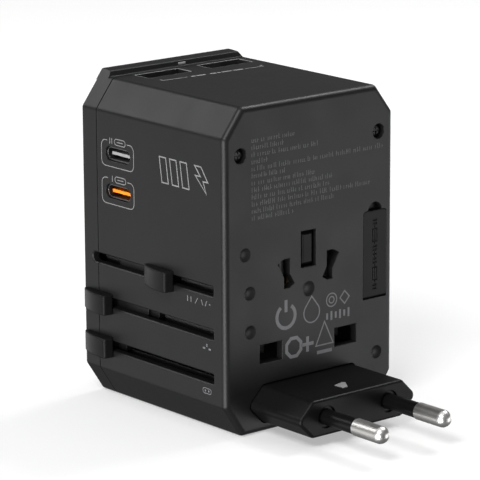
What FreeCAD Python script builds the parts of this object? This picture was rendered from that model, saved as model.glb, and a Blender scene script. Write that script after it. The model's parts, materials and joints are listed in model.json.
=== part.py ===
import FreeCAD, Part
import math
import os

# Universal travel adapter with three sliding plugs (US/AUS, UK, EU), two USB-A and two USB-C ports.
# Frame: the adapter rests on its flat bottom, Z up. The plug face looks to -Y, the slider side to -X,
# the socket face to +Y. Depths are drawn from the plug face at Y = 0, and export() moves every
# sub-part back by half the depth, so that the origin is the centre of the flat bottom.
# Every length is in millimetres.

# ---- driving dimensions -------------------------------------------------------------------------

body_w = 50.0
body_h = 75.3
body_d = 51.5
seam_y = 46.0
seam_gap = 0.2
wall = 2.0
edge_r = 1.4
cover_edge_r = 0.4
ridge_z = body_h + 1.5
ridge_y = 47.6

top_chamfer_x = 5.05
top_chamfer_z = 6.6
bottom_chamfer_x = 4.9
bottom_chamfer_z = 7.4

plug_x = -0.6

uk_pitch = 22.23
uk_line_z = 18.24
uk_earth_z = uk_line_z + uk_pitch
uk_line_w, uk_line_h = 6.3, 4.0
uk_earth_w, uk_earth_h = 4.0, 8.0
uk_line_out = 17.7
uk_earth_out = 22.7
uk_recess = 0.35
uk_travel = uk_earth_out + uk_recess
uk_plate_y = 27.0
uk_plate_t = 3.0
uk_sleeve_len = 9.5 + uk_plate_y - uk_travel

us_pitch = 12.7
us_pivot_z = 35.1
us_blade_rise = 0.6
us_blade_t = 1.5
us_blade_h = 6.3
us_recess = 2.0
us_turn = 30.0
us_plate_y = 21.5
us_plate_t = 3.0
us_shank_r = 1.2
us_fit = 0.05

eu_z = 6.65
eu_block_half_w = 17.7
eu_block_half_h = 4.3
eu_block_out = 17.0
eu_block_in = 6.4
eu_pin_pitch = 18.6
eu_pin_r = 2.0
eu_sleeve_r = 1.8
eu_pin_len = 19.5
eu_sleeve_len = 10.0

slot_h = 2.35
slot_y0 = 4.2
slot_y1 = 48.2
us_slot_z = 33.65
uk_slot_z = 23.7
eu_slot_z = 13.4
slot_edge = 0.25
knob_len = 10.0
knob_h = 4.7
knob_out = 2.5
knob_drop = 0.35
knob_gap = 0.15
stem_len = 5.0
stem_h = 2.0
us_knob_y = 18.1
us_stem_y = us_knob_y + 4.5
home_knob_y = 40.8
home_stem_y = home_knob_y + 1.5
rail_x0 = -22.3
rail_x1 = -20.7
liner_over = -0.7

usb_a_y = 43.1
usb_a_x = (-7.6, 10.9)
usb_a_w, usb_a_t = 12.5, 5.12
usb_a_sheet = 0.3
usb_c_y = 38.2
usb_c_z = (59.1, 50.3)
usb_c_w, usb_c_t = 9.2, 3.4

socket_line_z = 21.0
socket_earth_z = socket_line_z + uk_pitch
socket_wall_y = 31.2

door_x0, door_x1 = 16.0, 23.0
door_z0, door_z1 = 25.6, 46.1
door_t = 1.2
door_hinge_r = 0.6
door_gap = 0.12
fuse_r = 2.5
fuse_len = 20.0

screw_x = 20.45
screw_z = 64.5
screw_well = 1.4

guide_x0, guide_x1 = 3.1, 12.4
guide_z0, guide_z1 = 29.6, 41.6
panel_half_w = 18.5
panel_z0, panel_z1 = 11.5, 54.0
panel_sunk = 0.6
panel_gap = 0.03

tiny = 0.01

half_w = body_w / 2
side_x = -half_w
inner_y = body_d - wall
V = FreeCAD.Vector


# ---- small shape helpers ------------------------------------------------------------------------

def box(x0, x1, y0, y1, z0, z1):
    return Part.makeBox(x1 - x0, y1 - y0, z1 - z0, V(x0, y0, z0))


def block_at(cx, cz, w, h, y0, y1):
    """A box centred on (cx, cz) in the plane of the plug face."""
    return box(cx - w / 2, cx + w / 2, y0, y1, cz - h / 2, cz + h / 2)


def rod_y(r, x, z, y0, y1):
    return Part.makeCylinder(r, y1 - y0, V(x, y0, z), V(0, 1, 0))


def rod_x(r, y, z, x0, x1):
    return Part.makeCylinder(r, x1 - x0, V(x0, y, z), V(1, 0, 0))


def rod_z(r, x, y, z0, z1):
    return Part.makeCylinder(r, z1 - z0, V(x, y, z0), V(0, 0, 1))


def prism_y(points, y0, y1):
    """A prism along Y over an outline of (x, z) points."""
    wire = Part.makePolygon([V(x, y0, z) for x, z in points + points[:1]])
    return Part.Face(wire).extrude(V(0, y1 - y0, 0))


def prism_x(points, x0, x1):
    """A prism along X over an outline of (y, z) points."""
    wire = Part.makePolygon([V(x0, y, z) for y, z in points + points[:1]])
    return Part.Face(wire).extrude(V(x1 - x0, 0, 0))


def fuse(shapes):
    return shapes[0].multiFuse(shapes[1:]).removeSplitter()


def turned_y(shape, x, z, degrees):
    """The shape turned about an axis along Y through (x, z)."""
    copy = shape.copy()
    copy.rotate(V(x, 0, z), V(0, 1, 0), degrees)
    return copy


def round_edges(shape, radius, chosen):
    edges = [e for e in shape.Edges if chosen(e)]
    return shape.makeFillet(radius, edges) if edges else shape


def runs_along(edge, axis):
    a, b = edge.Vertexes[0].Point, edge.Vertexes[-1].Point
    d = b - a
    return d.Length > tiny and abs(abs(getattr(d, axis)) - d.Length) < tiny


def at_y(edge, y):
    return all(abs(v.Point.y - y) < tiny for v in edge.Vertexes)


def rounded_box(x0, x1, y0, y1, z0, z1, r, axis):
    return round_edges(box(x0, x1, y0, y1, z0, z1), r, lambda e: runs_along(e, axis))


def stadium_x(cy, cz, w, h, x0, x1):
    """A bar along X with a section of width w (Y), height h (Z) and full-round ends."""
    r = h / 2
    a, b = cy - w / 2 + r, cy + w / 2 - r
    return fuse([box(x0, x1, a, b, cz - r, cz + r), rod_x(r, a, cz, x0, x1), rod_x(r, b, cz, x0, x1)])


# ---- housing ------------------------------------------------------------------------------------

def octagon(inset):
    """Outline of the housing section, moved inwards by inset."""
    w, top, low = half_w - inset, body_h - inset, inset
    k_top = inset * (math.hypot(top_chamfer_x, top_chamfer_z) - top_chamfer_x) / top_chamfer_z
    k_low = inset * (math.hypot(bottom_chamfer_x, bottom_chamfer_z) - bottom_chamfer_x) / bottom_chamfer_z
    s_top = body_h - top_chamfer_z - k_top
    s_low = bottom_chamfer_z + k_low
    t_top = w - (top - s_top) * top_chamfer_x / top_chamfer_z
    t_low = w - (s_low - low) * bottom_chamfer_x / bottom_chamfer_z
    right = [(t_low, low), (w, s_low), (w, s_top), (t_top, top)]
    return right + [(-x, z) for x, z in reversed(right)]


def slot_bar(z, grow, x0, x1):
    """A bar the shape of one slider slot: full-round behind, small corners in front."""
    r = slot_h / 2 + grow
    end = slot_y1 - slot_h / 2
    bar = rounded_box(x0, x1, slot_y0 - grow, end, z - r, z + r, 0.5, "x")
    square = box(x0, x1, end - r, end, z - r, z + r)
    return fuse([bar, square, rod_x(r, end, z, x0, x1)])


def slider_slots():
    """The three through slots of the slider side, with a small chamfer on their outer edges."""
    cuts = []
    for z in (us_slot_z, uk_slot_z, eu_slot_z):
        mouth = slot_bar(z, slot_edge, side_x - 1, side_x + slot_edge)
        rim = [e for e in mouth.Edges if all(abs(v.Point.x - side_x - slot_edge) < tiny for v in e.Vertexes)]
        cuts.append(slot_bar(z, 0, side_x - 1, side_x + wall + 1))
        cuts.append(mouth.makeChamfer(slot_edge - tiny, rim))
    return cuts


def seam_groove():
    outer = prism_y(octagon(-1), seam_y - seam_gap / 2, seam_y + seam_gap / 2)
    return outer.cut(prism_y(octagon(0.2), seam_y - 1, seam_y + 1))


def hexagon(half_width, half_height, y0, y1, r):
    """Section of the EU plug block: flat top and bottom, pointed rounded ends."""
    flat = half_width - half_height
    points = [(-flat, -half_height), (flat, -half_height), (half_width, 0),
              (flat, half_height), (-flat, half_height), (-half_width, 0)]
    prism = prism_y([(plug_x + x, eu_z + z) for x, z in points], y0, y1)
    return round_edges(prism, r, lambda e: runs_along(e, "y"))


def sector(x, z, reach, middle_angle, spread, y0, y1):
    """A round wedge along Y with its tip at (x, z); angles are measured from straight up towards +X."""
    points = [(x, z)]
    steps = 12
    for i in range(steps + 1):
        a = math.radians(middle_angle - spread / 2 + spread * i / steps)
        points.append((x + reach * math.sin(a), z + reach * math.cos(a)))
    return prism_y(points, y0, y1)


def blade_window(side):
    """Opening for a blade that turns from upright to the slanted AUS position."""
    x = plug_x + side * us_pitch / 2
    w, h = us_blade_t + 0.35, us_blade_h + 0.5
    up = h / 2 + us_blade_rise
    down = h / 2 - us_blade_rise
    upright = block_at(x, us_pivot_z + us_blade_rise, w, h, -1, wall + 1)
    slanted = turned_y(upright, x, us_pivot_z, side * us_turn)
    middle = side * us_turn / 2
    return fuse([upright, slanted, sector(x, us_pivot_z, up, middle, us_turn, -1, wall + 1),
                 sector(x, us_pivot_z, down, 180 + middle, us_turn, -1, wall + 1)])


def guide_block(side):
    x = plug_x + side * (guide_x0 + guide_x1) / 2
    return block_at(x, (guide_z0 + guide_z1) / 2, guide_x1 - guide_x0, guide_z1 - guide_z0, 0, wall)


def blade_guide(side):
    """The part of the plug face around one blade window, flush with the shell."""
    return guide_block(side).cut(blade_window(side))


def dimple(r, x, z):
    """Shallow round hollow of rim radius r."""
    deep = 0.5
    ball = (r * r + deep * deep) / (2 * deep)
    return Part.makeSphere(ball, V(x, deep - ball, z))


def front_shell():
    shape = prism_y(octagon(0), 0, seam_y)
    shape = round_edges(shape, edge_r, lambda e: at_y(e, 0) or runs_along(e, "y"))
    shape = shape.cut(prism_y(octagon(wall), wall, seam_y + 1))
    bosses = [rod_y(2.6, side * screw_x, screw_z, wall - 0.5, screw_well + 2.0) for side in (-1, 1)]
    shape = fuse([shape] + bosses)
    cuts = slider_slots() + [seam_groove()]
    for side in (-1, 1):
        x = plug_x + side * uk_pitch / 2
        cuts.append(block_at(x, uk_line_z, uk_line_w + 0.4, uk_line_h + 0.4, -1, wall + 1))
        cuts.append(guide_block(side))
        cuts.append(rod_y(1.75, side * screw_x, screw_z, -1, screw_well))
        cuts.append(rod_y(1.15, side * screw_x, screw_z, 0.5, wall + 3))
    cuts.append(block_at(plug_x, uk_earth_z, uk_earth_w + 0.6, uk_earth_h + 0.5, -1, wall + 1))
    cuts.append(hexagon(eu_block_half_w + 0.35, eu_block_half_h + 0.3, -1, wall + 1, 1.6))
    for x, z, r in ((-19.2, 41.9, 1.6), (-17.9, 32.9, 1.6), (-17.8, 23.9, 1.6),
                    (20.1, 12.45, 1.6), (plug_x, 31.1, 1.8)):
        cuts.append(dimple(r, x, z))
    cuts.append(door_recess())
    for x in usb_a_x:
        cuts.append(usb_a_opening(x, usb_a_sheet + 0.03, body_h - wall - 1, body_h + 1))
    for z in usb_c_z:
        cuts.append(stadium_x(usb_c_y, z, usb_c_w, usb_c_t, side_x - 1, side_x + wall + 1))
    return shape.cut(fuse(cuts))


def door_recess():
    gap = door_gap
    pan = rounded_box(door_x0 - gap, door_x1 + gap, -1, door_t + gap, door_z0 - gap, door_z1 + gap, 0.9, "y")
    foot = box(door_x0 - gap, door_x1 + gap, -1, door_t + gap, door_z0 - gap, door_z0 + 2 * door_hinge_r)
    hole = box(door_x0 + 0.8, door_x1 - 0.8, 0, wall + 1, door_z0 + 1.6, door_z1 - 0.8)
    notch = rod_y(2.15, (door_x0 + door_x1) / 2, door_z1 - 0.1, -1, 1.6)
    pin_seat = rod_x(0.3, door_hinge_r, door_z0 + door_hinge_r, door_x0 - 0.7, door_x1 + 0.7)
    return fuse([pan, foot, hole, notch, pin_seat])


def cover_ridge():
    """Raised rim along the top of the cover: its ends carry on the top chamfers."""
    rise = (ridge_z - body_h + top_chamfer_z) / top_chamfer_z
    top_half = half_w - top_chamfer_x * rise
    start = body_h - top_chamfer_z
    section = prism_y([(-half_w, start), (half_w, start), (top_half, ridge_z), (-top_half, ridge_z)], 40, 60)
    section = round_edges(section, 0.7, lambda e: runs_along(e, "y") and e.BoundBox.ZMin > body_h)
    side_view = [(ridge_y, body_h - 1), (ridge_y, body_h), (ridge_y + 0.5, ridge_z - 0.3),
                 (body_d, ridge_z), (body_d, body_h - 1)]
    bar = prism_x(side_view, -half_w, half_w)
    bar = round_edges(bar, 0.3, lambda e: runs_along(e, "x") and e.BoundBox.ZMin > body_h + 0.5)
    return bar.common(section)


def rear_cover():
    shape = prism_y(octagon(0), seam_y, body_d)
    shape = round_edges(shape, edge_r, lambda e: runs_along(e, "y"))
    shape = round_edges(shape, cover_edge_r, lambda e: at_y(e, body_d) and e.BoundBox.ZMin < body_h - 1)
    shape = shape.cut(prism_y(octagon(wall), seam_y - 1, inner_y))
    pillars = [rod_y(2.4, side * screw_x, screw_z, screw_well + 2.2, inner_y + 0.5) for side in (-1, 1)]
    ribs = [box(x, x + 1.0, 46.6, inner_y + 0.5, 10.0, 19.0) for x in (-23.5, 22.5)]
    shape = fuse([shape, cover_ridge()] + pillars + ribs)
    cuts = slider_slots() + [seam_groove(), panel_block(inner_y - 1, body_d + 1, panel_gap)]
    cuts += [rod_y(1.0, side * screw_x, screw_z, 0, 15.0) for side in (-1, 1)]
    cuts.append(led_window(0.02))
    return shape.cut(fuse(cuts))


def panel_block(y0, y1, grow):
    half = panel_half_w + grow
    return rounded_box(plug_x - half, plug_x + half, y0, y1, panel_z0 - grow, panel_z1 + grow, 5.0, "y")


def socket_panel():
    """Sunk plate of the rear socket."""
    return panel_block(inner_y, body_d - panel_sunk, 0).cut(socket_openings())


def socket_openings():
    """Universal socket: UK, EU, US and AUS plugs share one pair of openings below the earth slot."""
    cuts = [block_at(plug_x, socket_earth_z, uk_earth_w + 0.6, uk_earth_h + 0.6, inner_y - 1, body_d + 1)]
    for side in (-1, 1):
        uk_x = plug_x + side * uk_pitch / 2
        us_x = plug_x + side * us_pitch / 2
        cuts.append(block_at(uk_x, socket_line_z, uk_line_w + 0.5, uk_line_h + 0.5, inner_y - 1, body_d + 1))
        cuts.append(rod_y(2.5, plug_x + side * 9.5, socket_line_z, inner_y - 1, body_d + 1))
        blade = block_at(us_x, socket_line_z, 2.0, 7.2, inner_y - 1, body_d + 1)
        cuts.append(blade)
        cuts.append(turned_y(blade, us_x, socket_line_z, -side * us_turn))
    return fuse(cuts)


def led_window(grow):
    """Light pipe: a tab in the front slope of the ridge on a leg down to the board."""
    x0, x1 = 0.7 - grow, 2.7 + grow
    back, top = ridge_y + 2.0 + grow, body_h + 0.8 + grow
    tab = box(x0, x1, ridge_y + 0.1, back, body_h + 0.3 - grow, top)
    leg = box(x0, x1, ridge_y + 1.0 - grow, back, 72.6, top)
    return fuse([tab, leg])


def screws():
    """Domed cross-head screws at the bottom of their wells."""
    parts = []
    for side in (-1, 1):
        x = side * screw_x
        head = rod_y(1.6, x, screw_z, 0.9, screw_well).common(Part.makeSphere(3.4, V(x, 4.2, screw_z)))
        cross = [block_at(x, screw_z, w, h, 0, 1.15) for w, h in ((1.9, 0.4), (0.4, 1.9))]
        shank = rod_y(1.0, x, screw_z, screw_well - 0.05, 14.0)
        parts.append(fuse([head, shank]).cut(fuse(cross)))
    return Part.makeCompound(parts)


# ---- sliders ------------------------------------------------------------------------------------

def stem_at(y, z, x0, x1, grow):
    return box(x0, x1, y - grow, y + stem_len + grow, z - stem_h / 2 - grow, z + stem_h / 2 + grow)


def knob(y, stem_y, z):
    """Thumb knob: a steep front and an arched face that falls towards the wall behind, on its stem."""
    x0 = side_x - knob_gap
    rise = knob_out - knob_gap
    base, front = V(x0, y, z), V(x0 - rise, y + 0.35, z)
    middle, heel = V(x0 - rise + 0.35, y + 5.4, z), V(x0 - 0.55, y + knob_len - 0.1, z)
    end = V(x0, y + knob_len, z)
    lines = [Part.makeLine(base, front), Part.Arc(front, middle, heel).toShape(),
             Part.makeLine(heel, end), Part.makeLine(end, base)]
    cap = Part.Face(Part.Wire(lines)).extrude(V(0, 0, knob_h))
    cap.translate(V(0, 0, -knob_h / 2 - knob_drop))
    nose = [e for e in cap.Edges if runs_along(e, "z") and abs(e.Vertexes[0].Point.x - front.x) < tiny]
    cap = cap.makeFillet(0.7, nose)
    cap = round_edges(cap, 0.18, lambda e: not runs_along(e, "z") and e.BoundBox.XMin < x0 - 0.7)
    return fuse([cap, stem_at(stem_y, z, x0 - 0.1, rail_x0, 0)])


def dust_strip(y0, y1, stem_y, z):
    """Thin strip behind the wall that keeps its slot closed; the knob's stem passes through it."""
    strip = rounded_box(side_x + wall + 0.12, rail_x0 - 0.15, y0, y1, z - 1.7, z + 1.7, 1.2, "x")
    return strip.cut(stem_at(stem_y, z, side_x, 0, 0.02))


def us_carriage():
    """Inverted U across both blades, clear of the UK earth pin and its arm, with a link to the knob."""
    y0, y1 = us_plate_y, us_plate_y + us_plate_t
    arm = uk_earth_w / 2 + 1.1
    top = uk_earth_z + uk_earth_h / 2 + 0.7
    low = us_pivot_z - 3.6
    legs = [box(plug_x + arm, plug_x + 10.0, y0, y1, low, top + 2.6),
            box(plug_x - 10.0, plug_x - arm, y0, y1, low, top + 2.6)]
    bridge = box(plug_x - 10.0, plug_x + 10.0, y0, y1, top, top + 2.6)
    link = box(rail_x0, plug_x - 9.5, y0, y1, us_slot_z + liner_over + 0.3, us_slot_z + 1.8)
    rail = box(rail_x0, rail_x1, us_knob_y + 2.8, us_knob_y + knob_len, us_slot_z - 1.8, us_slot_z + 1.8)
    holes = [rod_y(us_shank_r + us_fit, plug_x + side * us_pitch / 2, us_pivot_z, y0 - 1, y1 + 1)
             for side in (-1, 1)]
    return fuse(legs + [bridge, link, rail]).cut(fuse(holes))


def us_blade(side):
    """Flat blade, fixed to its pivot behind."""
    x = plug_x + side * us_pitch / 2
    front = us_recess
    blade = block_at(x, us_pivot_z + us_blade_rise, us_blade_t, us_blade_h, front, us_plate_y - 1.5)
    return round_edges(blade, 0.35, lambda e: at_y(e, front))


def blade_pivot(side):
    """Disc behind the blade, with a round shank that turns in the carriage and a rivet head."""
    x = plug_x + side * us_pitch / 2
    back = us_plate_y + us_plate_t
    disc = rod_y(2.9, x, us_pivot_z, us_plate_y - 1.5, us_plate_y - 0.15)
    shank = rod_y(us_shank_r, x, us_pivot_z, us_plate_y - 0.2, back + 0.6)
    head = rod_y(1.9, x, us_pivot_z, back + 0.15, back + 0.9)
    return fuse([disc, shank, head])


def uk_carriage():
    """Cross plate behind the line pins, an upright arm to the earth pin and a side rail to the knob."""
    y0, y1 = uk_plate_y, uk_plate_y + uk_plate_t
    plate = box(plug_x - 15.6, plug_x + 15.6, y0, y1, uk_line_z - 2.4, uk_line_z + 2.4)
    arm = box(plug_x - 2.3, plug_x + 2.3, y0, y1, uk_line_z, uk_earth_z + uk_earth_h / 2 + 0.2)
    leg = box(plug_x - 18.0, plug_x - 15.0, y0, y1, uk_line_z - 2.4, uk_slot_z + 1.5)
    link = box(rail_x0, plug_x - 15.0, y0, y1, uk_slot_z + liner_over + 0.3, uk_slot_z + 1.5)
    rail = box(rail_x0, rail_x1, y0, home_knob_y + 7.0, uk_slot_z - 1.5, uk_slot_z + 1.5)
    seats = [block_at(plug_x + side * uk_pitch / 2, uk_line_z, 3.0, 2.0, y0 - 1, y1 + 1) for side in (-1, 1)]
    seats.append(block_at(plug_x, uk_earth_z, 2.4, 4.0, y0 - 1, y1 + 1))
    return fuse([plate, arm, leg, link, rail]).cut(fuse(seats))


def uk_pin(x, z, w, h, tip_y, sleeve_len):
    """Flat pin with a chamfered tip and a narrower tail through the carriage."""
    pin = block_at(x, z, w, h, tip_y, uk_plate_y)
    pin = pin.makeChamfer(0.8, [e for e in pin.Edges if at_y(e, tip_y)])
    if sleeve_len:
        band = block_at(x, z, w + 1, h + 1, uk_plate_y - sleeve_len, uk_plate_y)
        core = block_at(x, z, w - 0.8, h - 0.8, uk_plate_y - sleeve_len, uk_plate_y)
        pin = pin.cut(band.cut(core))
    return pin


def uk_line_tip_y():
    return uk_recess + uk_earth_out - uk_line_out


def uk_line_pins():
    pins = []
    for side in (-1, 1):
        x = plug_x + side * uk_pitch / 2
        body = uk_pin(x, uk_line_z, uk_line_w, uk_line_h, uk_line_tip_y(), uk_sleeve_len)
        tail = block_at(x, uk_line_z, 3.0, 2.0, uk_plate_y, uk_plate_y + uk_plate_t + 0.5)
        pins.append(fuse([body, tail]))
    return Part.makeCompound(pins)


def uk_pin_sleeves():
    sleeves = []
    for side in (-1, 1):
        x = plug_x + side * uk_pitch / 2
        outer = block_at(x, uk_line_z, uk_line_w, uk_line_h, uk_plate_y - uk_sleeve_len, uk_plate_y)
        core = block_at(x, uk_line_z, uk_line_w - 0.8, uk_line_h - 0.8, 0, uk_plate_y + 1)
        sleeves.append(outer.cut(core))
    return Part.makeCompound(sleeves)


def uk_earth_pin():
    body = uk_pin(plug_x, uk_earth_z, uk_earth_w, uk_earth_h, uk_recess, 0)
    tail = block_at(plug_x, uk_earth_z, 2.4, 4.0, uk_plate_y, uk_plate_y + uk_plate_t + 0.5)
    return fuse([body, tail])


def eu_block():
    front = -eu_block_out
    shape = hexagon(eu_block_half_w, eu_block_half_h, front, eu_block_in, 1.5)
    shape = round_edges(shape, 0.7, lambda e: at_y(e, front))
    cuts = []
    for side in (-1, 1):
        x = plug_x + side * eu_pin_pitch / 2
        cuts.append(rod_y(eu_sleeve_r, x, eu_z, front - 1, eu_block_in + 1))
        cuts.append(rod_y(eu_pin_r + 0.55, x, eu_z, front - 1, front + 0.5))
    return shape.cut(fuse(cuts))


def eu_pin(side):
    """Round pin with a domed tip, thinner under its insulating sleeve."""
    x = plug_x + side * eu_pin_pitch / 2
    tip_y = -eu_block_out - eu_pin_len
    sleeve_y = -eu_block_out - eu_sleeve_len
    bare = rod_y(eu_pin_r, x, eu_z, tip_y + eu_pin_r, sleeve_y)
    dome = Part.makeSphere(eu_pin_r, V(x, tip_y + eu_pin_r, eu_z))
    core = rod_y(eu_pin_r - 0.5, x, eu_z, sleeve_y - 0.5, eu_block_in - 0.5)
    return fuse([bare, dome, core])


def eu_pin_sleeves():
    sleeves = []
    for side in (-1, 1):
        x = plug_x + side * eu_pin_pitch / 2
        y0, y1 = -eu_block_out - eu_sleeve_len, eu_block_in - 1.0
        core = rod_y(eu_pin_r - 0.5, x, eu_z, y0 - 1, y1 + 1)
        sleeves.append(rod_y(eu_sleeve_r, x, eu_z, y0, y1).cut(core))
    return Part.makeCompound(sleeves)


def eu_carrier():
    """Cross bar above the EU block, with a claw foot, linked to its knob by a short side rail."""
    z0, z1 = eu_slot_z - 0.9, eu_slot_z + 0.9
    bar = box(rail_x0, plug_x + 6.0, 39.3, 43.2, z0, z1)
    rail = box(rail_x0, rail_x1, 39.3, home_knob_y + 7.0, eu_slot_z - 1.3, eu_slot_z + 1.1)
    pad = box(plug_x - 5.0, plug_x + 5.0, 39.3, 43.2, z0 - 0.3, z0 + 0.2)
    return fuse([bar, rail, pad])


# ---- guides, contacts and shutter ---------------------------------------------------------------

def lower_deck():
    return box(-19.8, 20.2, wall + 0.3, 43.4, 11.25, 11.85)


def slot_liners():
    """Fixed strips that close the view through the slots; the carriage links pass above them."""
    over = liner_over
    return Part.makeCompound([box(rail_x1 + 0.35, rail_x1 + 0.75, wall + 0.05, inner_y - 0.2, z - 3.8, z + over)
                              for z in (us_slot_z, uk_slot_z, eu_slot_z - 0.6)])


def socket_wall():
    plate = box(-19.4, 20.0, socket_wall_y, socket_wall_y + 1.2, 15.7, 48.0)
    holes = [block_at(plug_x + side * 9.8, 27.4, 6.4, 1.0, socket_wall_y - 1, socket_wall_y + 2)
             for side in (-1, 1)]
    return plate.cut(fuse(holes))


def upper_deck():
    deck = box(-22.7, 22.7, wall + 0.2, 45.6, 48.3, 49.3)
    usb_c_bay = box(-23, side_x + 9.2, usb_c_y - 6.5, 46, 48, 50)
    return deck.cut(usb_c_bay)


def line_contact(side):
    """U-shaped brass receiver for one line pin, with a tab up to its bus bar."""
    x = plug_x + side * 9.9
    y0, y1 = socket_wall_y + 1.3, 46.2
    back = box(x - 5.0, x + 5.0, y0, y0 + 0.5, socket_line_z - 3.1, 27.8)
    low = box(x - 5.0, x + 5.0, y0, y1, socket_line_z - 3.1, socket_line_z - 2.6)
    high = box(x - 5.0, x + 5.0, y0, y1, socket_line_z + 2.6, socket_line_z + 3.1)
    return fuse([back, low, high])


def earth_contact():
    y0, y1 = socket_wall_y + 1.3, 46.2
    z0, z1 = socket_earth_z - 4.2, socket_earth_z + 4.2
    back = box(plug_x - 2.9, plug_x + 2.9, y0, y0 + 0.5, z0, z1)
    leaves = [box(x, x + 0.5, y0, y1, z0, z1) for x in (plug_x - 2.9, plug_x + 2.4)]
    return fuse([back] + leaves)


def bus_bar(side):
    """Flat bar that the plug carriages wipe, running back through the socket wall."""
    x = plug_x + side * 9.8
    bar = box(x - 3.0, x + 3.0, 15.0, socket_wall_y + 1.3, 27.0, 27.8)
    toe = box(x - 3.0, x + 3.0, 15.0, 15.8, 27.0, 30.0)
    return fuse([bar, toe])


def safety_shutter():
    plate = box(plug_x - 15.5, plug_x + 15.5, 46.9, 47.9, 16.6, 25.4)
    ramp = [prism_y([(plug_x + side * 10 - 3, 18.2), (plug_x + side * 10 + 3, 18.2),
                     (plug_x + side * 10 + 3, 20.4), (plug_x + side * 10 - 3, 20.4)], 46.5, 47.0)
            for side in (-1, 1)]
    seats = [rod_z(0.7, plug_x + side * 12, 47.4, 14.2, 16.8) for side in (-1, 1)]
    return fuse([plate] + ramp + seats).cut(box(plug_x - 3.6, plug_x + 3.6, 46, 49, 22.8, 26))


def shutter_springs():
    springs = []
    for side in (-1, 1):
        x = plug_x + side * 12
        helix = Part.makeHelix(1.2, 4.4, 1.1)
        helix.translate(V(x, 47.4, 11.9))
        circle = Part.Wire(Part.makeCircle(0.2, V(x + 1.1, 47.4, 11.9), V(0, 1, 0)))
        springs.append(Part.Wire(helix.Edges).makePipeShell([circle], True, True))
    return Part.makeCompound(springs)


def detent_springs():
    """Two leaf springs that hold the US/AUS and UK rails in their end positions."""
    leaves = []
    for z, y in ((us_slot_z, 27.0), (uk_slot_z, 34.0)):
        leaf = box(rail_x1 + 0.35, rail_x1 + 0.65, y, y + 9, z - 0.4, z + 1.4)
        foot = box(rail_x1 + 0.35, rail_x1 + 1.6, y + 8.4, y + 9, z - 0.4, z + 1.4)
        leaves.append(fuse([leaf, foot]))
    return Part.makeCompound(leaves)


# ---- fuses and fuse door ------------------------------------------------------------------------

def fuse_door():
    r = door_hinge_r
    z_axis = door_z0 + r
    plate = box(door_x0, door_x1, 0, door_t, z_axis, door_z1)
    knuckle = rod_x(r, r, z_axis, door_x0, door_x1)
    outline = rounded_box(door_x0, door_x1, -1, door_t + 1, door_z0, door_z1, 0.8, "y")
    shape = fuse([plate, knuckle]).common(outline)
    cuts = [rod_x(0.34, r, z_axis, door_x0 - 1, door_x1 + 1)] + door_marks()
    return shape.cut(fuse(cuts))


def door_marks():
    """Engraved column: two fuse symbols, each between short bars, with a plus sign in the middle."""
    x = (door_x0 + door_x1) / 2
    deep, line = 0.25, 0.3
    cuts = []
    for z in (31.3, 40.4):
        frame = block_at(x, z, 1.6, 3.2, -1, deep).cut(block_at(x, z, 1.6 - 2 * line, 3.2 - 2 * line, -2, 1))
        cuts += [frame, block_at(x, z, line, 4.6, -1, deep)]
        cuts += [block_at(x, z + step, 1.4, 0.4, -1, deep) for step in (-3.5, -2.7, 2.7, 3.5)]
    cuts += [block_at(x, 35.85, 1.3, line, -1, deep), block_at(x, 35.85, line, 1.3, -1, deep)]
    return cuts


def fuse_door_pin():
    return rod_x(0.3, door_hinge_r, door_z0 + door_hinge_r, door_x0 - 0.65, door_x1 + 0.65)


def fuse_holder():
    """Tray with two bays, one behind the other."""
    tray = box(door_x0 - 0.1, door_x1 - 0.2, wall + 0.1, 15.0, door_z0 - 0.2, door_z1 + 0.5)
    bay = box(door_x0 + 0.7, door_x1 - 1.0, wall, 14.2, door_z0 + 0.3, door_z1)
    return tray.cut(bay)


def glass_fuse(y):
    x = (door_x0 + door_x1) / 2 - 0.15
    z0 = door_z0 + 0.4
    z1 = z0 + fuse_len
    tube = rod_z(fuse_r - 0.2, x, y, z0 + 1, z1 - 1)
    caps = [rod_z(fuse_r, x, y, z0, z0 + 4.5), rod_z(fuse_r, x, y, z1 - 4.5, z1)]
    return fuse([tube] + caps)


# ---- USB electronics ----------------------------------------------------------------------------

def usb_a_opening(x, grow, z0, z1):
    w, t = usb_a_w / 2 + grow, usb_a_t / 2 + grow
    return box(x - w, x + w, usb_a_y - t, usb_a_y + t, z0, z1)


def usb_a_shell(x):
    """Sheet steel shell whose rim ends just below the top of the housing."""
    bottom, rim = body_h - wall - 13.55, body_h - 0.1
    return usb_a_opening(x, usb_a_sheet, bottom, rim).cut(usb_a_opening(x, 0, bottom + 0.5, rim + 1))


def usb_a_tongues():
    top = body_h - wall - 0.05
    parts = []
    for x in usb_a_x:
        base = box(x - usb_a_w / 2 + 0.05, x + usb_a_w / 2 - 0.05, usb_a_y - usb_a_t / 2 + 0.05,
                   usb_a_y + usb_a_t / 2 - 0.05, top - 12.95, top - 9.6)
        tongue = box(x - 5.6, x + 5.6, usb_a_y + 0.5, usb_a_y + 2.35, top - 10, top - 0.6)
        parts.append(fuse([base, tongue]))
    return Part.makeCompound(parts)


def usb_a_contacts():
    top = body_h - wall - 0.05
    bars = []
    for port in usb_a_x:
        for x in (port - 3.5, port - 1.0, port + 1.0, port + 3.5):
            bars.append(box(x - 0.5, x + 0.5, usb_a_y + 0.35, usb_a_y + 0.48, top - 9.4, top - 1.6))
    return Part.makeCompound(bars)


def usb_c_shell(z):
    outer = stadium_x(usb_c_y, z, usb_c_w - 0.2, usb_c_t - 0.2, side_x + 0.5, side_x + 8.0)
    inner = stadium_x(usb_c_y, z, usb_c_w - 0.8, usb_c_t - 0.8, side_x - 1, side_x + 7.5)
    return outer.cut(inner)


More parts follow.
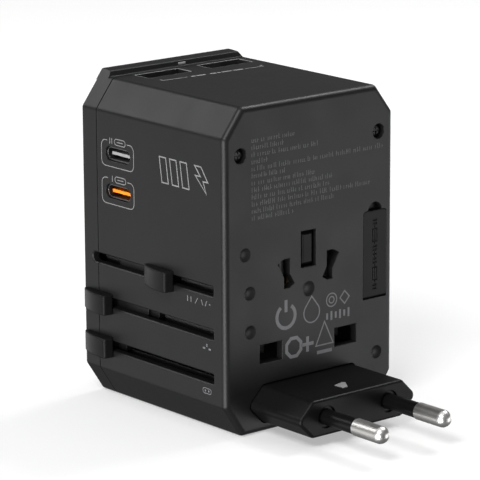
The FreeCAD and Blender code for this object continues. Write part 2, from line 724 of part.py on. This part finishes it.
def usb_c_tongue(z):
    base = stadium_x(usb_c_y, z, usb_c_w - 0.86, usb_c_t - 0.86, side_x + 5.6, side_x + 7.45)
    tongue = box(side_x + 1.0, side_x + 5.7, usb_c_y - 3.3, usb_c_y + 3.3, z - 0.35, z + 0.35)
    return fuse([base, tongue])


def usb_c_board():
    return box(side_x + 8.05, side_x + 9.1, usb_c_y - 6.4, usb_c_y + 6.4, 49.6, 64.5)


def main_board():
    return box(-14.6, 17.8, 46.3, 47.5, 50.5, 71.8)


def board_chips():
    chips = [box(-6, 0, 45.2, 46.3, 52.5, 58), box(6, 10, 45.3, 46.3, 53, 57),
             box(13, 16.5, 45.0, 46.3, 52, 55), box(2.0, 2.8, 46.6, 47.2, 71.8, 72.5)]
    return Part.makeCompound(chips)


def power_board():
    return box(-15.5, 19.0, 5.0, 38.5, 51.0, 52.2)


def transformer():
    x0, x1, y0, y1, z = -12.5, 4.5, 15.0, 31.0, 52.2
    bobbin = [box(x0, x1, y0 + 2, y1 - 2, z, z + 1.2), box(x0, x1, y0 + 2, y1 - 2, z + 11.8, z + 13)]
    core = box(x0 + 1.5, x1 - 1.5, y0, y1, z + 3.0, z + 10.0)
    winding = rounded_box(x0 + 2.5, x1 - 2.5, y0 + 3, y1 - 3, z + 1.2, z + 11.8, 1.5, "z")
    return fuse(bobbin + [core, winding])


def capacitors():
    cans = []
    for x, y, r, h in ((11.0, 27.5, 4.0, 14.0), (11.0, 18.0, 4.0, 14.0), (-8.5, 9.5, 2.9, 11.0)):
        can = rod_z(r, x, y, 52.2, 52.2 + h)
        cans.append(round_edges(can, 0.5, lambda e: len(e.Vertexes) == 1))
    return Part.makeCompound(cans)


def choke():
    return Part.makeTorus(3.4, 1.6, V(2.0, 9.5, 53.8), V(0, 0, 1))


def export(shapes):
    """Write one STEP file per sub-part, with the origin at the centre of the bottom."""
    os.makedirs("parts", exist_ok=True)
    for name, shape in shapes.items():
        placed = shape.copy()
        placed.translate(V(0, -body_d / 2, 0))
        placed.exportStep("parts/" + name + ".step")


def main():
    left, right = -1, 1
    shapes = {
        "front_shell": front_shell(),
        "blade_guide_left": blade_guide(left),
        "blade_guide_right": blade_guide(right),
        "rear_cover": rear_cover(),
        "socket_panel": socket_panel(),
        "face_screws": screws(),
        "led_light_pipe": led_window(0),
        "us_knob": knob(us_knob_y, us_stem_y, us_slot_z),
        "us_carriage": us_carriage(),
        "us_dust_strip": dust_strip(us_knob_y + 2.8, 40.5, us_stem_y, us_slot_z),
        "us_blade_left": us_blade(left),
        "us_blade_right": us_blade(right),
        "blade_pivot_left": blade_pivot(left),
        "blade_pivot_right": blade_pivot(right),
        "uk_knob": knob(home_knob_y, home_stem_y, uk_slot_z),
        "uk_carriage": uk_carriage(),
        "uk_dust_strip": dust_strip(uk_plate_y + uk_plate_t + 0.2, 47.8, home_stem_y, uk_slot_z),
        "uk_line_pins": uk_line_pins(),
        "uk_pin_sleeves": uk_pin_sleeves(),
        "uk_earth_pin": uk_earth_pin(),
        "eu_knob": knob(home_knob_y, home_stem_y, eu_slot_z),
        "eu_carrier": eu_carrier(),
        "eu_block": eu_block(),
        "eu_pin_left": eu_pin(left),
        "eu_pin_right": eu_pin(right),
        "eu_pin_sleeves": eu_pin_sleeves(),
        "slot_liners": slot_liners(),
        "lower_deck": lower_deck(),
        "socket_wall": socket_wall(),
        "upper_deck": upper_deck(),
        "live_contact": line_contact(right),
        "neutral_contact": line_contact(left),
        "earth_contact": earth_contact(),
        "live_bus": bus_bar(right),
        "neutral_bus": bus_bar(left),
        "safety_shutter": safety_shutter(),
        "shutter_springs": shutter_springs(),
        "detent_springs": detent_springs(),
        "fuse_door": fuse_door(),
        "fuse_door_pin": fuse_door_pin(),
        "fuse_holder": fuse_holder(),
        "spare_fuse": glass_fuse(5.1),
        "main_fuse": glass_fuse(11.4),
        "usb_a_left": usb_a_shell(usb_a_x[0]),
        "usb_a_right": usb_a_shell(usb_a_x[1]),
        "usb_a_tongues": usb_a_tongues(),
        "usb_a_contacts": usb_a_contacts(),
        "usb_c_upper": usb_c_shell(usb_c_z[0]),
        "usb_c_lower": usb_c_shell(usb_c_z[1]),
        "usb_c_upper_tongue": usb_c_tongue(usb_c_z[0]),
        "usb_c_lower_tongue": usb_c_tongue(usb_c_z[1]),
        "usb_c_board": usb_c_board(),
        "main_board": main_board(),
        "board_chips": board_chips(),
        "power_board": power_board(),
        "transformer": transformer(),
        "capacitors": capacitors(),
        "choke": choke(),
    }
    export(shapes)


main()
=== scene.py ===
import json
import math
import random

import bmesh
import bpy
from mathutils import Matrix, Vector

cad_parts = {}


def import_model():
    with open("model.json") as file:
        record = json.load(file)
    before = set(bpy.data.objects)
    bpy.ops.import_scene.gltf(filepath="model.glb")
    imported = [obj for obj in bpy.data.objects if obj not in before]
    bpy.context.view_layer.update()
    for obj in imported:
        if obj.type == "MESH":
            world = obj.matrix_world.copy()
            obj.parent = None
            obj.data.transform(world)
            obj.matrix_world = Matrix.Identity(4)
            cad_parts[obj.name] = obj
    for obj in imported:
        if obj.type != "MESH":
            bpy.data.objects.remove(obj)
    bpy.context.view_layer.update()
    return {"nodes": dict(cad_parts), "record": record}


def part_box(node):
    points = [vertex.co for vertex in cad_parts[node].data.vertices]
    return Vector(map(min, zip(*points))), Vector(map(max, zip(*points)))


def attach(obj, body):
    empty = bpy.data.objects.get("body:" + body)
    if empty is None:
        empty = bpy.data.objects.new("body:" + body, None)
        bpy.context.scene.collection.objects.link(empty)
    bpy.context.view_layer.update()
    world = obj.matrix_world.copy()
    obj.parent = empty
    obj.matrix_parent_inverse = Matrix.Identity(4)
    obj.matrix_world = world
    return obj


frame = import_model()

# Places below are in millimetres: x from the middle of the housing, y from its plug face towards the
# socket, z from its flat bottom. Prints are thin raised pieces on the faces of the housing.

MM = 0.001
SHELL_LOW, SHELL_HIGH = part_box("front_shell")
ORIGIN = Vector(((SHELL_LOW.x + SHELL_HIGH.x) / 2, SHELL_LOW.y, SHELL_LOW.z))
SIDE_X = (SHELL_LOW.x - ORIGIN.x) / MM
TOP_Z = (SHELL_HIGH.z - ORIGIN.z) / MM
BLOCK_TOP_Z = (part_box("eu_block")[1].z - ORIGIN.z) / MM
INK_TOP = 0.02
INK_FOOT = 0.015


def at(x, y, z):
    return ORIGIN + Vector((x, y, z)) * MM


FACES = {
    "plug": lambda u, v, out: at(u, -out, v),
    "side": lambda u, v, out: at(SIDE_X - out, u, v),
    "top": lambda u, v, out: at(u, v, TOP_Z + out),
    "block": lambda u, v, out: at(u, v, BLOCK_TOP_Z + out),
}


# ---- camera, floor and light --------------------------------------------------------------------

AIM = Vector((0, -0.00075, 0.035))
IMAGE_PX, SENSOR_MM = 480, 36
FOCAL_PX = 3147.4
CAMERA_AZIMUTH, CAMERA_ELEVATION, CAMERA_ROLL = -39.73, 13.80, -0.31
CAMERA_DISTANCE, CAMERA_RIGHT, CAMERA_UP = 0.7284, 0.0001, 0.0026
FLOOR_REACH, FLOOR_DROP = 4.0, 0.0001

# Each softbox: name, azimuth, elevation, distance, width, height (metres) and radiance. The cards below
# the horizon are what the upright faces mirror towards a viewer who looks slightly down.
SOFTBOXES = (
    ("key", -155, 36, 0.9, 0.5, 0.36, 3.6),
    ("overhead", 0, 88, 1.3, 1.2, 1.2, 0.8),
    ("front_top", -60, 44, 0.8, 0.32, 0.24, 18.0),
    ("top_right", 93, 52, 0.8, 0.32, 0.24, 12.0),
    ("strip", -68, -14, 0.5, 0.36, 0.35, 9.5),
    ("right_card", 42, -14, 0.6, 0.4, 0.3, 2.6),
    ("rear_card", -140, -16, 0.6, 0.5, 0.3, 0.78),
    ("back_card", 182, -9, 0.7, 0.4, 0.26, 1.5),
    ("far_card", 96, -11, 0.7, 0.5, 0.26, 2.0),
)


def direction(azimuth, elevation):
    """Unit vector towards a viewer: azimuth 0 faces the plug face, -90 the side with the sliders."""
    a, e = math.radians(azimuth), math.radians(elevation)
    return Vector((math.sin(a) * math.cos(e), -math.cos(a) * math.cos(e), math.sin(e)))


def look(back, roll=0.0):
    """Rotation of a camera or lamp that looks against the direction back."""
    right = (-back).cross(Vector((0, 0, 1))).normalized()
    up = right.cross(-back)
    c, s = math.cos(math.radians(roll)), math.sin(math.radians(roll))
    return Matrix((c * right + s * up, -s * right + c * up, back)).transposed()


def camera():
    back = direction(CAMERA_AZIMUTH, CAMERA_ELEVATION)
    turn = look(back, CAMERA_ROLL)
    data = bpy.data.cameras.new("camera")
    data.lens = SENSOR_MM * FOCAL_PX / IMAGE_PX
    data.clip_start, data.clip_end = 0.01, 20
    obj = bpy.data.objects.new("camera", data)
    spot = AIM + back * CAMERA_DISTANCE + turn.col[0] * CAMERA_RIGHT + turn.col[1] * CAMERA_UP
    obj.matrix_world = Matrix.Translation(spot) @ turn.to_4x4()
    bpy.context.scene.collection.objects.link(obj)
    bpy.context.scene.camera = obj


def softbox(name, azimuth, elevation, distance, width, height, radiance):
    """Rectangular lamp aimed at the object, where radiance is what a camera would see of it."""
    data = bpy.data.lights.new(name, "AREA")
    data.shape = "RECTANGLE"
    data.size, data.size_y = width, height
    data.energy = radiance * width * height * math.pi
    obj = bpy.data.objects.new(name, data)
    back = direction(azimuth, elevation)
    obj.matrix_world = Matrix.Translation(AIM + back * distance) @ look(back).to_4x4()
    obj.visible_camera = False
    bpy.context.scene.collection.objects.link(obj)


def world():
    data = bpy.data.worlds.new("studio")
    data.use_nodes = True
    background = data.node_tree.nodes["Background"]
    background.inputs["Color"].default_value = (1, 1, 1, 1)
    background.inputs["Strength"].default_value = 0.17
    bpy.context.scene.world = data
    bpy.context.scene.view_settings.view_transform = "Standard"


# ---- materials ----------------------------------------------------------------------------------

class Finish:
    """A procedural material over the object coordinates, which are metres in the rest frame."""

    def __init__(self, name):
        self.material = bpy.data.materials.new(name)
        self.material.use_nodes = True
        self.tree = self.material.node_tree
        self.shader = self.tree.nodes["Principled BSDF"]
        self.place = self.add("TexCoord").outputs["Object"]

    def add(self, kind, inputs=None, **settings):
        node = self.tree.nodes.new("ShaderNode" + kind)
        for key, value in settings.items():
            setattr(node, key, value)
        for key, value in (inputs or {}).items():
            self.feed(node.inputs[key], value)
        return node

    def feed(self, socket, value):
        if isinstance(value, bpy.types.NodeSocket):
            self.tree.links.new(value, socket)
        else:
            socket.default_value = value

    def set(self, **inputs):
        for key, value in inputs.items():
            self.feed(self.shader.inputs[key.replace("_", " ")], value)

    def noise(self, size, detail=2.0, stretch=(1, 1, 1)):
        """Noise whose features are about size millimetres, longer along an axis with a smaller stretch."""
        scale = 0.5 / (size * MM)
        turned = self.add("Mapping", {"Vector": self.place, "Scale": [scale * s for s in stretch]})
        inputs = {"Vector": turned.outputs[0], "Scale": 1.0, "Detail": detail}
        return self.add("TexNoise", inputs).outputs["Fac"]

    def range(self, value, low, high, start=0.3, end=0.7):
        inputs = {"Value": value, "From Min": start, "From Max": end, "To Min": low, "To Max": high}
        return self.add("MapRange", inputs).outputs["Result"]

    def math(self, operation, *values):
        return self.add("Math", dict(enumerate(values)), operation=operation).outputs[0]

    def mix(self, factor, a, b):
        return self.add("Mix", {0: factor, 6: (*a, 1) if isinstance(a, tuple) else a,
                                7: (*b, 1) if isinstance(b, tuple) else b}, data_type="RGBA").outputs[2]

    def rounded(self, radius, flat=None):
        """Normal that rounds the edges by radius millimetres, and how near an edge the point is."""
        soft = self.add("Bevel", {"Radius": radius * MM}, samples=6).outputs["Normal"]
        plain = self.add("NewGeometry").outputs["Normal"]
        if flat is not None:
            soft = self.add("Mix", {0: flat, 4: soft, 5: plain}, data_type="VECTOR").outputs[1]
        facing = self.add("VectorMath", {0: soft, 1: plain}, operation="DOT_PRODUCT").outputs["Value"]
        return soft, self.range(facing, 0.0, 1.0, 0.992, 0.86)

    def bump(self, height, microns, normal):
        inputs = {"Height": height, "Strength": 1.0, "Distance": microns * 1e-6, "Normal": normal}
        return self.add("Bump", inputs).outputs["Normal"]


def guide_seam(finish):
    """1 on the flush joint round the blade guides, whose edges must not look rounded."""
    right_low, right_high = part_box("blade_guide_right")
    middle = (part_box("blade_guide_left")[0].x + right_high.x) / 2
    centre, half = (right_low + right_high) / 2, (right_high - right_low) / 2
    split = finish.add("SeparateXYZ", {"Vector": finish.place}).outputs
    across = finish.math("ABSOLUTE", finish.math("SUBTRACT", split["X"], middle))
    across = finish.math("ABSOLUTE", finish.math("SUBTRACT", across, centre.x - middle))
    upright = finish.math("ABSOLUTE", finish.math("SUBTRACT", split["Z"], centre.z))
    across, upright = finish.math("SUBTRACT", across, half.x), finish.math("SUBTRACT", upright, half.z)
    outside = finish.math("MAXIMUM", across, upright)
    return finish.math("LESS_THAN", finish.math("ABSOLUTE", outside), 0.6 * MM)


def cover_joint_shade(finish):
    """1 in the shallow groove where the rear cover meets the shell, painted black as the shade that falls in
    it.
    """
    across = finish.add("SeparateXYZ", {"Vector": finish.place}).outputs["Y"]
    away = finish.math("ABSOLUTE", finish.math("SUBTRACT", across, SHELL_HIGH.y))
    return finish.math("LESS_THAN", away, 0.16 * MM)


def plastic(slot, colour, rough, grain=4.0, edge=0.3, radius=0.25, gloss=0.25, flush=None, joint=None):
    """Moulded plastic: mottled colour, fine eroded grain, patchy sheen, and slightly polished edges
    lightened in colour as wear and painted highlight.
    """
    f = Finish(slot)
    normal, rim = f.rounded(radius, flush(f) if flush else None)
    cloud, fine = f.noise(14, 3.0), f.noise(0.35, 2.0)
    body = f.mix(f.range(cloud, 0, 1), tuple(0.9 * c for c in colour), tuple(1.12 * c for c in colour))
    body = f.mix(f.range(fine, 0, 0.35), body, tuple(1.5 * c for c in colour))
    # Edges are lightened in colour: partly wear, partly a painted highlight.
    worn_and_painted_highlight = f.math("MULTIPLY", rim, f.range(f.noise(2.5, 3.0), 0.5 * edge, edge))
    body = f.mix(worn_and_painted_highlight, body, tuple(2.2 * c + 0.01 for c in colour))
    sheen = f.math("ADD", f.range(f.noise(6, 4.0), rough - 0.03, rough + 0.03), f.range(fine, -0.015, 0.015))
    sheen = f.math("SUBTRACT", sheen, f.math("MULTIPLY", rim, 0.08))
    height = f.math("ADD", fine, f.math("MULTIPLY", f.noise(1.4, 3.0), 0.6))
    # The joint groove is painted black as the shade in it, with full roughness.
    if joint:
        joint_shade_mask = joint(f)
        body, sheen = f.mix(joint_shade_mask, body, (0.0, 0.0, 0.0)), f.math("MAXIMUM", sheen, joint_shade_mask)
    f.set(Base_Color=body, Roughness=sheen, Normal=f.bump(height, grain, normal))
    f.set(Specular_IOR_Level=gloss)
    return f.material


def metal(slot, colour, rough, stretch=(1, 0.03, 1), streak=0.35, radius=0.15, wave=0.8):
    """Plated or polished metal with fine streaks, cloudy tarnish and bright edges."""
    f = Finish(slot)
    normal, rim = f.rounded(radius)
    lines, cloud = f.noise(streak, 3.0, stretch), f.noise(3.0, 4.0)
    body = f.mix(f.range(cloud, 0, 1), tuple(0.86 * c for c in colour), colour)
    body = f.mix(f.range(lines, 0, 0.3), body, tuple(0.88 * c for c in colour))
    body = f.mix(f.math("MULTIPLY", rim, 0.5), body, tuple(min(1.15 * c, 0.95) for c in colour))
    sheen = f.math("ADD", f.range(lines, rough * 0.85, rough * 1.15), f.range(cloud, -0.03, 0.03))
    f.set(Base_Color=body, Roughness=sheen, Metallic=1.0, Normal=f.bump(lines, wave, normal))
    return f.material


def clear(slot, colour, rough):
    """Glass or clear plastic with faint waviness."""
    f = Finish(slot)
    cloud = f.noise(2.0, 3.0)
    normal, _ = f.rounded(0.1)
    body = f.mix(f.range(cloud, 0, 1), tuple(0.9 * c for c in colour), colour)
    f.set(Base_Color=body, Roughness=f.range(cloud, rough, rough + 0.08), Normal=f.bump(cloud, 2.0, normal))
    f.set(Transmission_Weight=0.6, IOR=1.5)
    return f.material


def ink(name, colour):
    """Pad print: even grey ink, a little thin in places."""
    f = Finish(name)
    thin = f.noise(0.5, 3.0)
    normal = f.add("NewGeometry").outputs["Normal"]
    body = f.mix(f.range(thin, 0, 1), tuple(0.85 * c for c in colour), tuple(1.1 * c for c in colour))
    f.set(Base_Color=body, Roughness=f.range(thin, 0.5, 0.6), Normal=f.bump(thin, 2.0, normal))
    return f.material


def floor():
    """Pale floor that glows a little so that it stays white, with the glow weaker near the object as a
    painted shadow, and neither lights nor shades the object.
    """
    f = Finish("floor")
    cloud = f.noise(120, 2.0)
    f.set(Base_Color=f.mix(f.range(cloud, 0, 1), (0.54, 0.54, 0.54), (0.56, 0.56, 0.56)), Roughness=0.9)
    away = f.add("VectorMath", {0: f.place}, operation="LENGTH").outputs["Value"]
    # Painted shadow: the glow is weakest within 6 cm of the object and full by 35 cm; beyond 60 cm it rises
    # further so the far floor stays white.
    glow_and_painted_shadow = f.math("ADD", f.range(away, 0.395, 0.51, 0.06, 0.35), f.range(away, 0.0, 0.5, 0.6, 2.0))
    f.set(Emission_Color=(1, 1, 1, 1), Emission_Strength=glow_and_painted_shadow)
    mesh = bmesh.new()
    corners = [mesh.verts.new((x * FLOOR_REACH, y * FLOOR_REACH, SHELL_LOW.z - FLOOR_DROP))
               for x, y in ((-1, -1), (1, -1), (1, 1), (-1, 1))]
    mesh.faces.new(corners)
    data = bpy.data.meshes.new("floor")
    mesh.to_mesh(data)
    mesh.free()
    data.materials.append(f.material)
    obj = bpy.data.objects.new("floor", data)
    bpy.context.scene.collection.objects.link(obj)
    for kind in ("diffuse", "glossy", "shadow"):
        setattr(obj, "visible_" + kind, False)


def finishes():
    return {
        "shell": plastic("shell", (0.0060, 0.0060, 0.0062), 0.42, flush=guide_seam, joint=cover_joint_shade),
        "cover": plastic("cover", (0.0058, 0.0058, 0.0060), 0.42, joint=cover_joint_shade),
        "slider": plastic("slider", (0.0050, 0.0050, 0.0052), 0.42,
                          grain=3.0, edge=0.5, radius=0.5, gloss=0.1),
        "strip": plastic("strip", (0.0065, 0.0065, 0.0067), 0.45),
        "plug_block": plastic("plug_block", (0.0045, 0.0045, 0.0047), 0.38, grain=3.0, edge=0.4, gloss=0.1),
        "sleeve": plastic("sleeve", (0.0030, 0.0030, 0.0030), 0.3, grain=0.8, edge=0.1, gloss=0.2),
        "nickel": metal("nickel", (0.74, 0.73, 0.71), 0.36, radius=0.05, wave=0.15),
        # The blades' nickel is darkened to a quarter of plain nickel: painted shade in their recesses behind
        # the windows.
        "blade_nickel_painted_shade": metal("blade_nickel_painted_shade", (0.19, 0.186, 0.182), 0.5),
        "screw_steel": metal("screw_steel", (0.035, 0.035, 0.037), 0.38, (1, 1, 1), streak=1.2),
        # The USB shells' steel is darkened far below bare steel: painted shade inside the ports.
        "shell_steel": metal("shell_steel", (0.16, 0.16, 0.165), 0.4, (1, 1, 0.05)),
        "brass": metal("brass", (0.42, 0.31, 0.15), 0.4),
        "inner_plastic": plastic("inner_plastic", (0.09, 0.09, 0.093), 0.5),
        "white_plastic": plastic("white_plastic", (0.72, 0.72, 0.70), 0.5),
        "tongue_black": plastic("tongue_black", (0.02, 0.02, 0.02), 0.4),
        "tongue_grey": plastic("tongue_grey", (0.24, 0.24, 0.24), 0.4),
        "tongue_orange": plastic("tongue_orange", (0.90, 0.22, 0.01), 0.35),
        "board": plastic("board", (0.02, 0.12, 0.05), 0.3),
        "chip": plastic("chip", (0.02, 0.02, 0.02), 0.45),
        "ferrite": plastic("ferrite", (0.06, 0.055, 0.05), 0.5),
        "can": plastic("can", (0.02, 0.025, 0.06), 0.3),
        "fuse_glass": clear("fuse_glass", (0.8, 0.85, 0.85), 0.03),
        "lens": plastic("lens", (0.35, 0.35, 0.35), 0.3),
        "contact_gold": metal("contact_gold", (0.8, 0.6, 0.25), 0.22),
    }


OWN_FINISH = {"us_blade_left": "blade_nickel_painted_shade", "us_blade_right": "blade_nickel_painted_shade", "us_carriage": "strip",
              "uk_carriage": "strip", "eu_carrier": "strip"}


def paint_nodes(by_slot):
    """Every node gets its slot's finish, apart from the blades, darkened as painted shade in their recesses,
    and the dark carriages in the slots.
    """
    for row in frame["record"]["subparts"]:
        data = frame["nodes"][row["node"]].data
        data.materials.clear()
        data.materials.append(by_slot[OWN_FINISH.get(row["node"], row["material_slot"])])


# ---- flat shapes --------------------------------------------------------------------------------
# A shape is (points, cells, loops): 2-D points, the faces over them, and the outlines to wall up.

def stroke(points, width, closed=False):
    """A line of constant width through the points, with mitred corners."""
    spots = [Vector(p) for p in points]
    count = len(spots)
    left, right = [], []
    for i, spot in enumerate(spots):
        legs = []
        if closed or i > 0:
            legs.append((spot - spots[i - 1]).normalized())
        if closed or i < count - 1:
            legs.append((spots[(i + 1) % count] - spot).normalized())
        along = sum(legs, Vector((0, 0))).normalized()
        normal = Vector((-along.y, along.x))
        square = max(along.dot(legs[0]), 0.4)
        left.append(spot + normal * width / 2 / square)
        right.append(spot - normal * width / 2 / square)
    steps = count if closed else count - 1
    cells = [(i, (i + 1) % count, count + (i + 1) % count, count + i) for i in range(steps)]
    first, second = list(range(count)), list(range(count, 2 * count))
    loops = [first, second] if closed else [first + second[::-1]]
    return left + right, cells, loops


def fill(points):
    """A filled convex outline."""
    order = list(range(len(points)))
    return [Vector(p) for p in points], [order], [order]


def arc(u, v, radius, start, end, steps=24):
    turns = [math.radians(start + (end - start) * i / steps) for i in range(steps + 1)]
    return [(u + radius * math.cos(a), v + radius * math.sin(a)) for a in turns]


def ring(u, v, radius, width):
    return stroke(arc(u, v, radius, 0, 345, 23), width, True)


def dot(u, v, radius):
    return fill(arc(u, v, radius, 0, 330, 11))


def bar(u, v, width, height, lean=0.0):
    """A filled rectangle centred on (u, v); lean moves its top edge sideways."""
    w, h, s = width / 2, height / 2, lean / 2
    return fill([(u - w - s, v - h), (u + w - s, v - h), (u + w + s, v + h), (u - w + s, v + h)])


def frame_line(u0, u1, v0, v1, radius):
    """Outline of a rectangle with round corners, anticlockwise from its lower right corner."""
    corners = ((u1 - radius, v0 + radius, -90), (u1 - radius, v1 - radius, 0),
               (u0 + radius, v1 - radius, 90), (u0 + radius, v0 + radius, 180))
    return [p for u, v, start in corners for p in arc(u, v, radius, start, start + 90, 6)]


def piece(name, face, shapes, material, body="housing", out=INK_TOP, foot=-INK_FOOT):
    """One print: closed thin prisms over the shapes, from foot to out millimetres off the face."""
    place = FACES[face]
    mesh = bmesh.new()
    for points, cells, loops in shapes:
        low = [mesh.verts.new(place(p.x, p.y, foot)) for p in points]
        high = [mesh.verts.new(place(p.x, p.y, out)) for p in points]
        for cell in cells:
            mesh.faces.new([high[i] for i in cell])
            mesh.faces.new([low[i] for i in reversed(cell)])
        for loop in loops:
            for i, j in zip(loop, loop[1:] + loop[:1]):
                mesh.faces.new((low[i], low[j], high[j], high[i]))
    bmesh.ops.recalc_face_normals(mesh, faces=mesh.faces)
    data = bpy.data.meshes.new(name)
    mesh.to_mesh(data)
    mesh.free()
    data.materials.append(material)
    obj = bpy.data.objects.new(name, data)
    bpy.context.scene.collection.objects.link(obj)
    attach(obj, body)
    return obj


# ---- prints -------------------------------------------------------------------------------------

def plug_signs():
    """Which plug each slider moves: pin patterns beside the three slots."""
    thin = 0.3
    us = [bar(13.2, 30.5, thin, 1.3), bar(12.0, 30.5, thin, 1.3), stroke([(10.6, 29.8), (9.6, 31.2)], 0.22)]
    us += [bar(8.1, 30.5, thin, 1.2, 0.5), bar(6.7, 30.5, thin, 1.2, -0.5), bar(5.4, 30.5, 0.5, thin)]
    uk = [bar(6.5, 20.9, 0.4, 0.7), bar(5.5, 20.15, 0.8, 0.4), bar(7.5, 20.15, 0.8, 0.4)]
    eu = [stroke(frame_line(5.1, 8.0, 9.7, 10.9, 0.55), 0.18, True),
          dot(5.95, 10.3, 0.26), dot(7.15, 10.3, 0.26)]
    return us + uk + eu


def power_sign():
    """Outlined bolt with three outlined charge bars beside it."""
    thick, low, high = 0.3, 55.6, 61.4
    bolt = [(8.1, high), (5.7, 58.2), (7.4, 58.2), (6.3, low), (10.1, 59.2), (8.3, 59.2), (10.3, high)]
    signs = [stroke(bolt, thick, True)]
    for u in (12.3, 16.0, 19.7):
        lean = 0.9
        corners = [(u, low), (u + 2.3, low), (u + 2.3 + lean, high), (u + lean, high)]
        signs.append(stroke(corners, thick, True))
    return signs


def port_frames():
    """A frame round each USB-C port, open at the top for a small sign of the port."""
    u0, u1, gap0, gap1, radius, thin = 32.3, 44.2, 34.7, 42.0, 1.4, 0.2
    signs = []
    for v0, bars in ((56.1, 2), (47.3, 1)):
        v1 = v0 + 6.0
        line = [p for u, v, start in ((u0 + radius, v1 - radius, 90), (u0 + radius, v0 + radius, 180),
                                      (u1 - radius, v0 + radius, 270), (u1 - radius, v1 - radius, 360))
                for p in arc(u, v, radius, start, start + 90, 6)]
        signs.append(stroke([(gap0, v1)] + line + [(gap1, v1)], thin))
        signs.append(stroke(frame_line(35.3, 39.3, v1 - 0.7, v1 + 0.7, 0.65), 0.2, True))
        signs.append(bar(37.3, v1, 2.2, 0.2))
        signs += [bar(40.3 + 0.75 * i, v1, 0.22, 1.4) for i in range(bars)]
    return signs


def rating_rows():
    """Twelve rows of short ticks where an adapter carries its rating text."""
    draw = random.Random(7)
    row_ends = (-4.0, -8.1, 2.3, -12.9, 21.9, -7.5, 1.1, 6.4, 5.5, 18.0, 7.0, -5.2)
    shapes = []
    for row, end in enumerate(row_ends):
        x, z = -17.1, 67.5 - 1.6 * row
        while x < end:
            for _ in range(draw.randint(2, 8)):
                tall = draw.random() < 0.35
                height = 1.15 if tall else 0.8
                shapes.append(bar(x, z - 0.5 + height / 2, 0.13, height))
                if draw.random() < 0.5:
                    shapes.append(bar(x + 0.18, z - 0.5 + draw.choice((0.1, 0.35, 0.6)), 0.34, 0.12))
                x += draw.choice((0.5, 0.6, 0.7))
                if x >= end:
                    break
            x += 0.55
    return shapes


def face_marks():
    """Plain geometric marks in two rows below the blade windows."""
    power = [stroke(arc(-7.3, 25.8, 2.7, 125, 415, 22), 0.85), bar(-7.3, 28.2, 0.85, 2.8)]
    drop = [(0.35, 29.2)] + arc(0.35, 25.4, 2.35, 35, -215, 20)
    outlines = [stroke(drop, 0.3, True), ring(6.35, 27.3, 1.55, 0.28), ring(6.35, 27.3, 0.75, 0.28)]
    outlines.append(stroke([(10.3, 25.8), (11.7, 27.3), (10.3, 28.8), (8.9, 27.3)], 0.3, True))
    tally = [bar(5.0 + 1.3 * i, 23.6, 0.55, 2.1 if i % 2 else 1.5) for i in range(6)]
    octagon = arc(-5.0, 18.2, 2.3, 22.5, 337.5, 7)
    cross = [bar(-0.9, 18.2, 0.8, 3.6), bar(-2.0, 18.2, 1.4, 0.8), bar(0.2, 18.2, 1.4, 0.8)]
    tent = [stroke([(1.6, 17.2), (6.8, 17.2), (4.2, 22.6)], 0.3, True), bar(4.2, 15.6, 4.5, 0.8)]
    return power + outlines + tally + [stroke(octagon, 0.8, True)] + cross + tent


def top_bracket():
    """Bracket with dashes in front of the two USB-A ports."""
    def slope(x):
        return 35.2 - 0.055 * x

    def line(x0, x1, width):
        return stroke([(x0, slope(x0)), (x1, slope(x1))], width)

    shapes = [stroke([(-13.3, slope(-13.3) + 1.3), (-13.3, slope(-13.3)), (-6.5, slope(-6.5))], 0.25),
              stroke([(10.1, slope(10.1)), (15.3, slope(15.3)), (15.3, slope(15.3) + 1.3)], 0.25)]
    dashes = ((-5.5, -4.2), (-3.8, -1.4), (0.0, 1.6), (2.0, 2.9), (3.3, 6.0), (6.6, 9.4))
    return shapes + [line(x0, x1, 0.7) for x0, x1 in dashes]


def port_rims_painted_highlight():
    """Folded rims of the two USB-A shells, drawn as a bright grey line: a painted highlight on their edges.
    """
    rims = []
    for name in ("usb_a_left", "usb_a_right"):
        low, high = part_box(name)
        x0, x1 = (low.x - ORIGIN.x) / MM + 0.15, (high.x - ORIGIN.x) / MM - 0.15
        y0, y1 = (low.y - ORIGIN.y) / MM + 0.15, (high.y - ORIGIN.y) / MM - 0.15
        rims.append(stroke(frame_line(x0, x1, y0, y1, 0.5), 0.22, True))
    return rims


def block_arrow():
    """Arrow on the plug block that points back into the housing."""
    return [fill([(-2.1, -10.6), (0.9, -9.8), (1.3, -10.5), (-0.5, -13.2), (-1.8, -13.3)])]


def prints():
    side, face = ink("side_ink", (0.17, 0.17, 0.17)), ink("face_ink", (0.11, 0.11, 0.118))
    faint, top = ink("rating_ink", (0.075, 0.075, 0.08)), ink("top_ink", (0.3, 0.3, 0.3))
    piece("plug_signs", "side", plug_signs(), face)
    piece("power_sign", "side", power_sign(), side)
    piece("port_frames", "side", port_frames(), side)
    piece("rating_rows", "plug", rating_rows(), faint)
    piece("face_marks", "plug", face_marks(), face)
    piece("top_bracket", "top", top_bracket(), top)
    # The USB-A rims are a light grey ink line, a painted highlight on the shells' edges.
    rim = ink("rim_line_painted_highlight", (0.3, 0.3, 0.3))
    piece("usb_a_rims_painted_highlight", "top", port_rims_painted_highlight(), rim, out=-0.06, foot=-0.11)
    piece("block_arrow", "block", block_arrow(), ink("arrow_ink", (0.22, 0.22, 0.22)), "eu_plug", out=0.12)


# ---- scene --------------------------------------------------------------------------------------

camera()
world()
floor()
for box in SOFTBOXES:
    softbox(*box)
paint_nodes(finishes())
prints()
